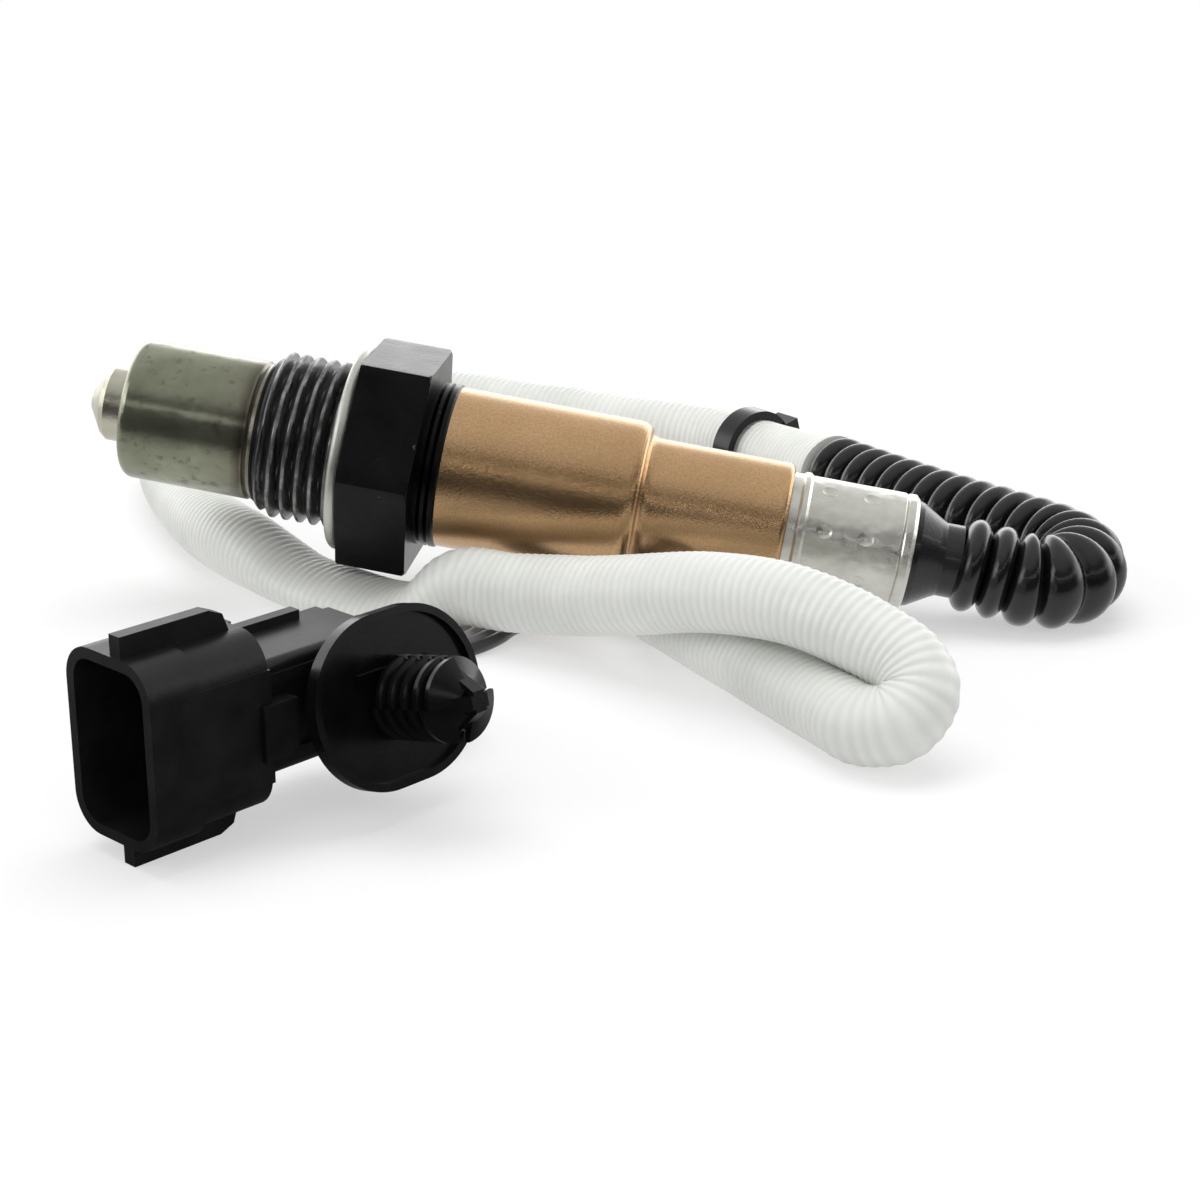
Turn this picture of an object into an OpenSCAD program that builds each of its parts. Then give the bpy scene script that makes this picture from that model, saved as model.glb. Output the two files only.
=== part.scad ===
// Heated exhaust oxygen sensor with a bellows tail, a ribbed cable sleeve and a four way plug.
// The origin is on the thread axis, in the plane where the gasket meets the exhaust boss.
// The sensor's own pieces are drawn along +X, from the probe nose towards the cable.

/* [Thread and hexagon] */
// Major diameter of the thread
thread_d = 17.85; // [17:0.05:18]
// Length of the threaded part
thread_len = 8.4; // [7:0.1:12]
// Spanner size of the hexagon
hex_af = 22; // [20:0.5:24]
// Length of the hexagon
hex_len = 7.5; // [5:0.1:10]
// Outer diameter of the sealing ring
gasket_d = 22; // [21:0.1:23]
// Thickness of the sealing ring
gasket_t = 1.4; // [1:0.1:2]
// Diameter of the grooved collar behind the hexagon
collar_d = 17.6; // [17.4:0.1:18]
// Length of the grooved collar
collar_len = 2.4; // [2:0.1:4]

/* [Probe] */
// Diameter of the outer protection tube
probe_d = 15; // [14.4:0.1:15.6]
// Length of the outer protection tube in front of the weld
probe_len = 13.5; // [10:0.5:18]
// Length of the weld band between tube and thread
weld_len = 1.5; // [1:0.1:2]
// Wall of both protection tubes
probe_wall = 0.6; // [0.4:0.05:0.8]
// Diameter of the inner protection tube and its nose
nose_d = 8; // [7:0.1:8.6]
// How far the nose stands out of the outer tube
nose_out = 4.6; // [3:0.1:6]
// Diameter of the gas hole in the end of the nose
nose_hole_d = 1.6; // [1:0.1:2.2]
// Number of gas holes round the nose
gas_holes = 8; // [4:1:12]
// Diameter of each gas hole
gas_hole_d = 1.3; // [0.8:0.1:1.6]

/* [Sleeve and crimp] */
// Diameter of the wide part of the copper coloured sleeve
sleeve_d = 17.2; // [16.8:0.1:17.4]
// Length of the wide part
sleeve_len = 20.7; // [18:0.1:26]
// Diameter of the narrow part of the sleeve
neck_d = 14.2; // [14:0.1:14.6]
// Length of the narrow part
neck_len = 14.4; // [12:0.1:18]
// Wall of the sleeve
sleeve_wall = 0.5; // [0.4:0.05:0.6]
// Diameter of the silver crimp collar
crimp_d = 12.4; // [12:0.1:12.6]
// Length of the crimp collar that shows
crimp_len = 12.5; // [10:0.1:16]
// Number of dents round the crimp collar
crimp_dents = 8; // [4:1:10]
// Length of the rubber boot that shows
boot_len = 5.2; // [4.6:0.1:8]
// Diameter of the boot's neck
boot_neck_d = 7.8; // [7:0.1:9]

/* [Cable] */
// Diameter of the bellows tube over its crests
bellows_d = 10; // [9:0.1:10]
// Diameter of one wire
wire_d = 1.4; // [1.1:0.1:1.5]
// Width of the cable tie
tie_w = 3; // [2:0.1:4]

/* [Connector] */
// Width of the shroud
shroud_w = 11.3; // [10.8:0.1:12]
// Height of the shroud
shroud_h = 16.5; // [16:0.1:17.4]
// Length of the shroud
shroud_len = 12.2; // [11:0.1:15]
// Wall of the shroud
shroud_wall = 1; // [0.8:0.05:1.2]
// Outer corner radius of the shroud
shroud_r = 3.2; // [2.5:0.1:4]
// Depth of the shroud's cavity
cavity_depth = 10; // [9:0.1:10.6]
// Length of the narrow body behind the shroud
tail_len = 12.8; // [11:0.1:15]
// Height of the narrow body
tail_h = 10.3; // [9.8:0.1:12]
// Width of the narrow body
tail_w = 8.6; // [8:0.1:9.4]
// Distance between two terminals
pin_pitch = 2.4; // [2.2:0.1:2.5]

/* [Panel clip] */
// Long side of the oval clip flange
flange_long = 18.6; // [16:0.1:22]
// Short side of the oval clip flange
flange_short = 15.4; // [13:0.1:18]
// Thickness of the clip flange
flange_t = 0.7; // [0.6:0.05:1.2]
// Length of the barbed stud beyond the flange
stud_len = 11.4; // [10:0.1:14]
// Diameter over the barbs
barb_d = 7.4; // [6:0.1:8.4]
// Number of barb rows
barb_rows = 5; // [3:1:6]

/* [Hidden] */
$fn = 64;

fit = 0.05;
tie_turn = 75;

sensor_tilt = 9.2;
sensor_yaw = -6.5;
ground_z = -17.4;

undercut_d = thread_d - 2;
hex_x = gasket_t;
collar_x = hex_x + hex_len;
sleeve_x = collar_x + collar_len;
neck_x = sleeve_x + sleeve_len;
blend_len = 1.2;
neck_end_x = neck_x + blend_len + neck_len;
crimp_gap = 0.9;
crimp_x = neck_end_x + crimp_gap;
crimp_end_x = crimp_x + crimp_len;
boot_end_x = crimp_end_x + boot_len;

thread_x = -thread_len;
weld_x = thread_x - weld_len;
probe_x = weld_x - probe_len;
nose_x = probe_x - nose_out;
spigot_len = 3;
spigot_d = probe_d - 2 * probe_wall - 2 * fit;
nose_flange_t = 0.8;

bore_d = 9.2;
throat_d = 6.4;
strip_w = 3.9;
strip_t = 1.5;
strip_slot = 0.1;
seat_x = -6;
front_ceramic_len = 5;
talc_len = 4;
rear_ceramic_len = 6;
press_len = 1.5;
rear_spigot_len = 4.7;
sleeve_in_d = sleeve_d - 2 * sleeve_wall;
neck_in_d = neck_d - 2 * sleeve_wall;
rear_spigot_d = sleeve_in_d - 2 * fit;
holder_d = 12;
holder_x = sleeve_x + rear_spigot_len + 2;
holder_len = 13;
ring_w = 7;
ring_t = 0.8;
barrel_d = 2.2;
barrel_len = 9;
wire_ring_r = 2.7;
crimp_wall = 0.5;
crimp_in_d = crimp_d - 2 * crimp_wall;
crimp_hidden = 7;
grommet_len = 13;
lead_d = 1.8;
boot_bore_d = 5.4;
boot_stem_len = 4.5;

plug_yaw = 47;
fin_w = 1.4;
fin_h = 1.8;
fin_side = -1;
plug_pos = [-12.6, -66.5, ground_z + fin_h + shroud_h / 2];
pin_t = 0.64;
pin_w = 1.2;
pin_out = 4.5;
band_len = 5;
step = 0.35;
cover_t = 1.2;
seal_len = 4;
seal_w = 5.4;
seal_h = 9.4;
lock_h = 5;
lock_len = 3.6;
lock_z = -0.4;
block_x = 11;
plug_end_x = shroud_len + tail_len + cover_t;
pin_end_x = shroud_len + tail_len - seal_len;
clip_x = 23.5;
clip_tilt = 13;
rim_h = 0.6;
clip_y = -(tail_w / 2 + 3.4);

// Where the sleeve slips over the far end of the bellows, and the way the cable runs there
joint_point = [55.6, 32.2, -12.4];
joint_way = [-0.5, 0.86, 0];

function unit(v) = v / norm(v);
function last(list) = list[len(list) - 1];
function along_axis(x) = [
    x * cos(sensor_tilt) * cos(sensor_yaw),
    x * cos(sensor_tilt) * sin(sensor_yaw),
    -x * sin(sensor_tilt)
];

// Centre points of the bellows, from the boot to the cable sleeve
bellows_route = concat([along_axis(boot_end_x)], [
    [68.5, -8, -11.4], [72.3, -8.6, -12.2], [75.9, -8.2, -12.4], [78, -5.8, -12.4],
    [78.8, -2.2, -12.4], [77.9, 1.8, -12.4], [75.4, 5.6, -12.4], [72.6, 9.2, -12.4],
    [68.2, 14.4, -12.4], [64, 20, -12.4], [59.6, 26.2, -12.4], joint_point
]);

// Centre points of the cable sleeve, with its half width and half height at each
sleeve_route = [
    concat(joint_point, [5, 5]), [53, 36.8, -12.8, 4.6, 4.6], [50, 42, -13, 4.3, 4.3],
    [43, 51.4, -13.2, 4.2, 4.2], [33.5, 57.2, -13.2, 4.2, 4.2], [20.5, 65, -13.2, 4.2, 4.2],
    [5, 73.4, -13.2, 4.2, 4.2], [-5, 74.6, -13.2, 4.2, 4.2], [-15, 72, -13.2, 4.2, 4.2],
    [-22.5, 66, -13.2, 4.2, 4.2], [-26.5, 57, -13.2, 4.2, 4.2], [-27.3, 47, -13.2, 4.2, 4.2],
    [-26, 37, -13.2, 4.2, 4.2], [-23, 27, -13.2, 4.2, 4.2], [-18, 15, -13.2, 4.2, 4.2],
    [-12, 5.4, -13.2, 4.2, 4.2], [-5.4, -1.5, -14.5, 4.6, 2.9], [-0.6, -5.4, -14.8, 4.9, 2.6],
    [4, -8.5, -14.95, 5, 2.45], [8.2, -11, -14.4, 4.8, 2.95], [12.5, -12.4, -11.7, 4.2, 4.1],
    [18, -14.9, -11.4, 4.2, 4.2], [24, -18.2, -10.6, 4.2, 4.2], [31.5, -24.2, -8.4, 4.1, 4.1],
    [38, -29.6, -6.4, 4, 4], [45, -35.2, -5.7, 3.9, 3.9], [51, -40, -6.8, 3.8, 3.8],
    [55, -43.6, -8.6, 3.8, 3.8], [55.8, -45.8, -10.4, 3.8, 3.8], [54, -47.2, -12.6, 3.8, 3.8],
    [51, -45.8, -13.6, 3.8, 3.8], [49, -42.6, -13.6, 3.8, 3.8], [46.4, -38, -13.6, 3.8, 3.8],
    [43.6, -32.8, -13.6, 3.8, 3.8], [40.6, -27.4, -13.6, 3.8, 3.8], [37.6, -21.8, -13.5, 3.9, 3.9],
    [33.6, -14.4, -13.2, 4.2, 4.2]
];

// A point of the connector's own frame, in the part's frame
function at_plug(p) = plug_pos + [
    p[0] * cos(plug_yaw) - p[1] * sin(plug_yaw),
    p[0] * sin(plug_yaw) + p[1] * cos(plug_yaw),
    p[2]
];
function pin_z(i) = (i - 1.5) * pin_pitch;
// The four wires lie side by side on the surface and pass under the cable sleeve
wire_z = ground_z + wire_d / 2;
lane = wire_d + 0.1;
ribbon_line = [
    [9, -33, wire_z], [6.6, -27.5, wire_z], [5.6, -22, wire_z], [6.6, -18.4, wire_z],
    [9.6, -16.8, wire_z], [12.6, -15.6, wire_z], [14.6, -13, wire_z], [16.2, -9.8, wire_z],
    [18.8, -7.6, wire_z], [22.5, -6.8, wire_z], [26, -7.2, wire_z], [29, -8.6, -15.6],
    [31.2, -10.4, -14.4]
];
function flat(v) = unit([v[0], v[1], 0]);
function left_of(v) = [-flat(v)[1], flat(v)[0], 0];
function cut_point() = let (e = last(sleeve_route)) [e[0], e[1], e[2]];
function cut_way() =
    let (e = last(sleeve_route), f = sleeve_route[len(sleeve_route) - 2])
    unit([e[0] - f[0], e[1] - f[1], e[2] - f[2]]);
function wire_route(i) =
    let (side = (1.5 - i) * lane, t = ways(ribbon_line))
    concat(
        [at_plug([pin_end_x, 0, pin_z(i)]), at_plug([plug_end_x + 2.5, 0, pin_z(i)]),
         [9.6 + lane * i, -40.5, wire_z + 1.2 + 1.3 * i]],
        [for (k = [0 : len(t) - 1]) ribbon_line[k] + side * left_of(t[k])],
        [cut_point() + 2 * cut_way() - side * left_of(cut_way()),
         cut_point() - side * left_of(cut_way())]
    );

// Frames along a route: each frame keeps the one before it as nearly as the bend allows
function way_at(pts, i) =
    i == 0 ? unit(pts[1] - pts[0])
    : i == len(pts) - 1 ? unit(pts[i] - pts[i - 1])
    : unit(unit(pts[i + 1] - pts[i]) + unit(pts[i] - pts[i - 1]));
function ways(pts, first, end) = [
    for (i = [0 : len(pts) - 1])
        i == 0 && first != undef ? unit(first)
        : i == len(pts) - 1 && end != undef ? unit(end)
        : way_at(pts, i)
];
function upright(n, t) = unit(n - (n * t) * t);
function normals(t) = [
    for (i = 0, n = upright([0, 0, 1], t[0]); i < len(t);
        i = i + 1, n = i < len(t) ? upright(n, t[i]) : n) n
];

// A closed tube along a route, as one polyhedron
module swept_tube(pts, half_w, half_h, sides, first = undef, end = undef) {
    t = ways(pts, first, end);
    n = normals(t);
    rings = len(pts);
    corners = [
        for (i = [0 : rings - 1])
            let (s = cross(t[i], n[i]))
            for (j = [0 : sides - 1])
                pts[i] + half_w[i] * cos(360 * j / sides) * s + half_h[i] * sin(360 * j / sides) * n[i]
    ];
    walls = [
        for (i = [0 : rings - 2])
            for (j = [0 : sides - 1])
                let (a = i * sides + j, b = i * sides + (j + 1) % sides)
                for (face = [[a, b, b + sides], [a, b + sides, a + sides]]) face
    ];
    front = [[for (j = [sides - 1 : -1 : 0]) j]];
    back = [[for (j = [0 : sides - 1]) (rings - 1) * sides + j]];
    polyhedron(corners, concat(walls, front, back), convexity = 10);
}

// Puts a piece in the sensor's frame, and turns a profile round the sensor's axis
module in_sensor() {
    rotate([0, sensor_tilt, sensor_yaw]) children();
}
module turned() {
    rotate([0, 90, 0]) rotate_extrude() children();
}
// A turned profile is written as [radius, station] points, with the station along +X
module rod(x0, x1, d) {
    translate([x0, 0, 0]) rotate([0, 90, 0]) cylinder(d = d, h = x1 - x0);
}
module on_circle(count, r) {
    for (i = [0 : count - 1])
        rotate([360 * i / count, 0, 0]) translate([0, 0, r]) children();
}

module nose_tube() {
    outer = nose_d / 2;
    inner = outer - probe_wall;
    tip = nose_hole_d / 2 + 0.3;
    back = weld_x - spigot_len + weld_len;
    color([0.62, 0.62, 0.56]) in_sensor() difference() {
        turned() polygon([
            [nose_hole_d / 2, nose_x], [tip, nose_x], [outer - 0.45, nose_x + 1.5],
            [outer, nose_x + 2.1], [outer, back - nose_flange_t],
            [spigot_d / 2, back - nose_flange_t], [spigot_d / 2, back], [inner, back],
            [inner, nose_x + 2.5], [tip, nose_x + 0.7], [nose_hole_d / 2, nose_x + 0.7]
        ]);
        translate([back - nose_flange_t - 4, 0, 0])
            on_circle(6, outer - probe_wall / 2) cylinder(d = 1, h = 3 * probe_wall, center = true);
    }
}

module outer_probe_tube() {
    outer = probe_d / 2;
    inner = outer - probe_wall;
    lip = nose_d / 2 + fit;
    edge = 1;
    color([0.52, 0.53, 0.46]) in_sensor() difference() {
        turned() polygon(concat(
            [[lip, probe_x - 0.4], [lip + 0.35, probe_x - 0.4], [lip + 0.5, probe_x]],
            [for (a = [90 : -15 : 0])
                [outer - edge + edge * cos(a), probe_x + edge - edge * sin(a)]],
            [[outer, weld_x + 0.2], [outer - 0.25, weld_x + 0.45], [outer - 0.1, weld_x + 0.7],
             [outer + 0.1, weld_x + 1.05], [outer - 0.2, thread_x],
             [inner, thread_x], [inner, probe_x + 2 * probe_wall],
             [inner - probe_wall, probe_x + probe_wall], [lip, probe_x + probe_wall]]
        ));
        translate([probe_x, 0, 0]) on_circle(gas_holes, (outer + lip) / 2 - 0.1)
            rotate([0, 90, 0]) cylinder(d = gas_hole_d, h = 4 * probe_wall, center = true);
    }
}

module hex_shell() {
    r_hex = hex_af / 2 / cos(30);
    chamfer = 0.5;
    groove = 0.35;
    collar_r = collar_d / 2;
    color([0.13, 0.13, 0.14]) in_sensor() difference() {
        union() {
            turned() polygon([
                [0, weld_x + weld_len - spigot_len], [spigot_d / 2, thread_x - spigot_len],
                [spigot_d / 2, thread_x], [thread_d / 2 - 0.8, thread_x],
                [thread_d / 2, thread_x + 0.8], [thread_d / 2, 0],
                [undercut_d / 2, 0], [undercut_d / 2, hex_x + 1], [0, hex_x + 1]
            ]);
            intersection() {
                translate([hex_x, 0, 0]) rotate([0, 90, 0]) rotate([0, 0, 30])
                    cylinder(r = r_hex, h = hex_len, $fn = 6);
                turned() polygon([
                    [0, hex_x], [r_hex - 0.15, hex_x], [r_hex + 0.1, hex_x + 0.2],
                    [r_hex + 0.1, collar_x - chamfer], [r_hex - 0.9, collar_x], [0, collar_x]
                ]);
            }
            turned() polygon([
                [0, collar_x - 1], [collar_r, collar_x - 1], [collar_r, collar_x + 0.5],
                [collar_r - groove, collar_x + 0.7], [collar_r, collar_x + 0.9],
                [collar_r, collar_x + 1.3], [collar_r - groove, collar_x + 1.5],
                [collar_r, collar_x + 1.7], [collar_r, sleeve_x - 0.2],
                [collar_r - 0.2, sleeve_x], [rear_spigot_d / 2, sleeve_x],
                [rear_spigot_d / 2, sleeve_x + rear_spigot_len], [0, sleeve_x + rear_spigot_len]
            ]);
        }
        rod(thread_x - spigot_len - 1, seat_x + 1, throat_d);
        rod(seat_x, sleeve_x + rear_spigot_len + 1, bore_d);
    }
}

// A ring of sheet metal folded over on itself, with a rolled outer edge
module sealing_ring() {
    outer = gasket_d / 2;
    inner = undercut_d / 2 + fit;
    roll = gasket_t / 2;
    fold = 0.12;
    color([0.72, 0.72, 0.68]) in_sensor() turned() polygon(concat(
        [[inner, 0]],
        [for (a = [-90 : 15 : 90]) [outer - roll + roll * cos(a), roll + roll * sin(a)]],
        [[inner, gasket_t], [inner, roll + fold], [outer - 1.6, roll + fold],
         [outer - 1.6, roll - fold], [inner, roll - fold]]
    ));
}

module strip_slot(x0, x1) {
    translate([x0, -strip_w / 2 - strip_slot, -strip_t / 2 - strip_slot])
        cube([x1 - x0, strip_w + 2 * strip_slot, strip_t + 2 * strip_slot]);
}
module sensing_element() {
    start = nose_x + 4;
    end = holder_x + strip_in_holder;
    color([0.93, 0.92, 0.88]) in_sensor()
        translate([start, -strip_w / 2, -strip_t / 2]) cube([end - start, strip_w, strip_t]);
}
module slotted_bush(x0, length, d) {
    difference() {
        rod(x0, x0 + length, d);
        strip_slot(x0 - 1, x0 + length + 1);
    }
}
module front_ceramic() {
    color([0.92, 0.9, 0.86]) in_sensor() slotted_bush(seat_x, front_ceramic_len, bore_d - 2 * fit);
}
module talc_packing() {
    color([0.82, 0.8, 0.74]) in_sensor()
        slotted_bush(seat_x + front_ceramic_len, talc_len, bore_d - 2 * fit);
}
module rear_ceramic() {
    color([0.92, 0.9, 0.86]) in_sensor()
        slotted_bush(seat_x + front_ceramic_len + talc_len, rear_ceramic_len, bore_d - 2 * fit);
}
module press_ring() {
    x0 = seat_x + front_ceramic_len + talc_len + rear_ceramic_len;
    color([0.5, 0.5, 0.5]) in_sensor() difference() {
        rod(x0, x0 + press_len, bore_d - 2 * fit);
        rod(x0 - 1, x0 + press_len + 1, bore_d - 3);
    }
}

// Angles of the four wires round the axis
function wire_angle(i) = 45 + 90 * i;
module at_wires() {
    for (i = [0 : 3])
        rotate([wire_angle(i), 0, 0]) translate([0, 0, wire_ring_r]) children();
}
spring_w = 1;
spring_t = 0.35;
barrel_x = holder_x + holder_len - 3;
strip_in_holder = holder_len - 4;
module contact_holder() {
    color([0.9, 0.88, 0.82]) in_sensor() difference() {
        rod(holder_x, holder_x + holder_len, holder_d);
        strip_slot(holder_x - 1, holder_x + strip_in_holder + 0.4);
        for (side = [-1, 1], y = [-1, 1])
            translate([holder_x - 1, y * 1.1 - spring_w / 2 - 0.1, side > 0 ? 0 : -1.6])
                cube([holder_len - 1.8, spring_w + 0.2, 1.6]);
        at_wires() rod(barrel_x - 0.5, holder_x + holder_len + 1, barrel_d + 0.2);
    }
}
// Four flat springs that press on the strip's pads
module contact_springs() {
    color([0.78, 0.66, 0.36]) in_sensor()
        for (side = [-1, 1], y = [-1, 1])
            translate([holder_x + 1, y * 1.1 - spring_w / 2, side * (strip_t / 2 + spring_t / 2 + fit) - spring_t / 2])
                cube([holder_len - 4.2, spring_w, spring_t]);
}
module holder_spring_ring() {
    gap_w = 1.6;
    color([0.6, 0.6, 0.6]) in_sensor() difference() {
        union() {
            rod(holder_x + 3, holder_x + 3 + ring_w, holder_d + 2 * ring_t + 2 * fit);
            for (x = [holder_x + 3, holder_x + 3 + ring_w - ring_t])
                rod(x, x + ring_t, sleeve_in_d - 2 * fit);
        }
        rod(holder_x + 2, holder_x + 4 + ring_w, holder_d + 2 * fit);
        translate([holder_x + 2, -gap_w / 2, 0]) cube([ring_w + 2, gap_w, sleeve_d]);
    }
}
module wire_barrels() {
    color([0.8, 0.7, 0.4]) in_sensor() at_wires() difference() {
        rod(barrel_x, barrel_x + barrel_len, barrel_d);
        rod(barrel_x + 3, barrel_x + barrel_len + 1, lead_d - 0.3);
    }
}

module copper_sleeve() {
    wide = sleeve_d / 2;
    slim = neck_d / 2;
    half = (wide - slim) / 2;
    round_len = 1.6;
    mouth = crimp_d / 2 + fit;
    edge = slim - mouth - 0.1;
    color([0.66, 0.47, 0.3]) in_sensor() turned() polygon(concat(
        [[sleeve_in_d / 2, sleeve_x], [wide, sleeve_x]],
        [for (a = [90 : -15 : 0])
            [wide - half + half * sin(a), neck_x - round_len + round_len * cos(a)]],
        [for (a = [15 : 15 : 90])
            [slim + half - half * sin(a), neck_x + blend_len - blend_len * cos(a)]],
        [for (a = [90 : -15 : 0])
            [slim - edge + edge * sin(a), neck_end_x - edge + edge * cos(a)]],
        [[mouth, neck_end_x], [mouth, neck_end_x - sleeve_wall],
         [neck_in_d / 2, neck_end_x - sleeve_wall - 0.4], [neck_in_d / 2, neck_x + blend_len],
         [slim + half - sleeve_wall, neck_x - 0.2],
         [sleeve_in_d / 2, neck_x - round_len - 0.2]]
    ));
}

grommet_x = crimp_end_x - boot_stem_len - grommet_len;
module rubber_grommet() {
    color([0.16, 0.13, 0.12]) in_sensor() difference() {
        rod(grommet_x, grommet_x + grommet_len, crimp_in_d - 2 * fit);
        at_wires() rod(grommet_x - 1, grommet_x + grommet_len + 1, lead_d + 2 * fit);
    }
}
// The insulated leads, from the barrels through the grommet into the boot
module lead_wires() {
    color([0.85, 0.85, 0.84]) in_sensor() at_wires()
        rod(barrel_x + barrel_len, boot_end_x - boot_len - boot_stem_len, lead_d);
}
module crimp_collar() {
    outer = crimp_d / 2;
    inner = crimp_in_d / 2;
    bead = 0.25;
    x0 = crimp_x - crimp_hidden;
    color([0.68, 0.68, 0.63]) in_sensor() difference() {
        turned() polygon([
            [inner, x0], [outer, x0], [outer, crimp_x - 0.3], [outer, crimp_x],
            [outer + bead, crimp_x + 0.3], [outer + bead, crimp_x + 0.8],
            [outer, crimp_x + 1.1], [outer, crimp_end_x - 1.5], [outer - 0.15, crimp_end_x - 1.3],
            [outer, crimp_end_x - 1.1], [outer, crimp_end_x - 0.4], [outer - 0.4, crimp_end_x],
            [inner, crimp_end_x]
        ]);
        for (x = [crimp_x + 3, crimp_x + 7.4])
            translate([x, 0, 0]) rotate([180 / crimp_dents, 0, 0])
                on_circle(crimp_dents, outer + 1.3) sphere(r = 1.55, $fn = 24);
    }
}
module rubber_boot() {
    stem = crimp_in_d / 2 - fit;
    shoulder = crimp_d / 2 - 0.5;
    neck = boot_neck_d / 2;
    color([0.07, 0.07, 0.07]) in_sensor() turned() polygon([
        [boot_bore_d / 2, crimp_end_x - boot_stem_len], [stem, crimp_end_x - boot_stem_len],
        [stem, crimp_end_x], [shoulder, crimp_end_x], [shoulder - 0.2, crimp_end_x + 0.6],
        [neck + 0.3, crimp_end_x + 2.8], [neck, crimp_end_x + 3.4], [neck, boot_end_x],
        [boot_bore_d / 2, boot_end_x]
    ]);
}

module bellows_tube() {
    r = [for (p = bellows_route) bellows_d / 2];
    color([0.05, 0.05, 0.05])
        swept_tube(bellows_route, r, r, 12, first = along_axis(1), end = joint_way);
}
module cable_sleeve() {
    pts = [for (p = sleeve_route) [p[0], p[1], p[2]]];
    color([0.9, 0.91, 0.89])
        swept_tube(pts, [for (p = sleeve_route) p[3]], [for (p = sleeve_route) p[4]], 12,
            first = joint_way);
}
module cable_tie() {
    p = (sleeve_route[2] + sleeve_route[3]) / 2;
    way = sleeve_route[3] - sleeve_route[2];
    yaw = atan2(way[1], way[0]);
    inner = p[3] + 0.1;
    color([0.1, 0.1, 0.1])
        translate([p[0], p[1], p[2]]) rotate([0, 0, yaw]) difference() {
            union() {
                rod(-tie_w / 2, tie_w / 2, 2 * inner + 2);
                rotate([tie_turn, 0, 0])
                    translate([-tie_w / 2 - 0.4, -2, inner]) cube([tie_w + 0.8, 4, 2.4]);
            }
            rod(-tie_w, tie_w, 2 * inner);
            translate([-tie_w, -inner - 2, ground_z - p[2] - tie_w]) cube([2 * tie_w, 2 * inner + 4, tie_w]);
        }
}

module loose_wire(i) {
    route = wire_route(i);
    r = [for (p = route) wire_d / 2];
    swept_tube(route, r, r, 8, first = [cos(plug_yaw), sin(plug_yaw), 0], end = -cut_way());
}
module wire_1() {
    color([0.86, 0.86, 0.84]) loose_wire(0);
}
module wire_2() {
    color([0.86, 0.86, 0.84]) loose_wire(1);
}
module wire_3() {
    color([0.5, 0.5, 0.5]) loose_wire(2);
}
module wire_4() {
    color([0.1, 0.1, 0.1]) loose_wire(3);
}

module in_plug() {
    translate(plug_pos) rotate([0, 0, plug_yaw]) children();
}
// A bar along +X whose end is a rectangle with round corners
module rounded_bar(x0, x1, w, h, r) {
    translate([x0, 0, 0]) rotate([90, 0, 90]) linear_extrude(x1 - x0) union() {
        square([w - 2 * r, h], center = true);
        square([w, h - 2 * r], center = true);
        for (y = [-1, 1], z = [-1, 1])
            translate([y * (w / 2 - r), z * (h / 2 - r)]) circle(r = r, $fn = 32);
    }
}
module connector_housing() {
    color([0.12, 0.12, 0.12]) in_plug() difference() {
        union() {
            rounded_bar(0, band_len, shroud_w, shroud_h, shroud_r);
            rounded_bar(band_len, shroud_len, shroud_w - 2 * step, shroud_h - 2 * step, shroud_r);
            translate([band_len, -shroud_w / 2, -shroud_h / 2 + shroud_r])
                cube([shroud_len - band_len, shroud_w, shroud_h - 2 * shroud_r]);
            rounded_bar(shroud_len, shroud_len + tail_len, tail_w, tail_h, 0.8);
            for (z = [-1, 1])
                mirror([0, 0, z < 0 ? 1 : 0])
                    translate([0, fin_side + fin_w / 2, shroud_h / 2 - 1]) rotate([90, 0, 0])
                        linear_extrude(fin_w) polygon([
                            [0.3, 0], [0.3, fin_h + 1], [shroud_len - 3, fin_h + 1],
                            [shroud_len - 1.6, fin_h + 0.4], [shroud_len - 0.8, 0]
                        ]);
            translate([shroud_len, tail_w / 2 - 2, tail_h / 2 - 0.2]) cube([tail_len - 3, 1.2, 1]);
            translate([shroud_len, tail_w / 2 - 2.4, tail_h / 2 + 0.2]) cube([2, 2, 1.6]);
            for (z = [-1, 1])
                translate([shroud_len, -tail_w / 2 - 0.35, z * 3.6 - 0.5]) cube([tail_len - 2, 0.8, 1]);
        }
        rounded_bar(-1, cavity_depth, shroud_w - 2 * shroud_wall, shroud_h - 2 * shroud_wall,
            shroud_r - shroud_wall);
        for (i = [0 : 3])
            translate([cavity_depth - 1, -pin_w / 2, pin_z(i) - pin_t / 2])
                cube([shroud_len + tail_len, pin_w, pin_t]);
        translate([pin_end_x, -seal_w / 2, -seal_h / 2]) cube([seal_len + 1, seal_w, seal_h]);
        translate([block_x - fit, -tail_w / 2 - 2, lock_z - lock_h / 2 - fit])
            cube([lock_len + 2 * fit, 3.2, lock_h + 2 * fit]);
    }
}
module terminal_pins() {
    x0 = cavity_depth - pin_out;
    color([0.75, 0.72, 0.62]) in_plug()
        for (i = [0 : 3])
            translate([x0, 0, pin_z(i)]) rotate([90, 0, 90])
                linear_extrude(pin_end_x - x0)
                    square([pin_w - 2 * fit, pin_t - 2 * fit], center = true);
}
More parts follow.
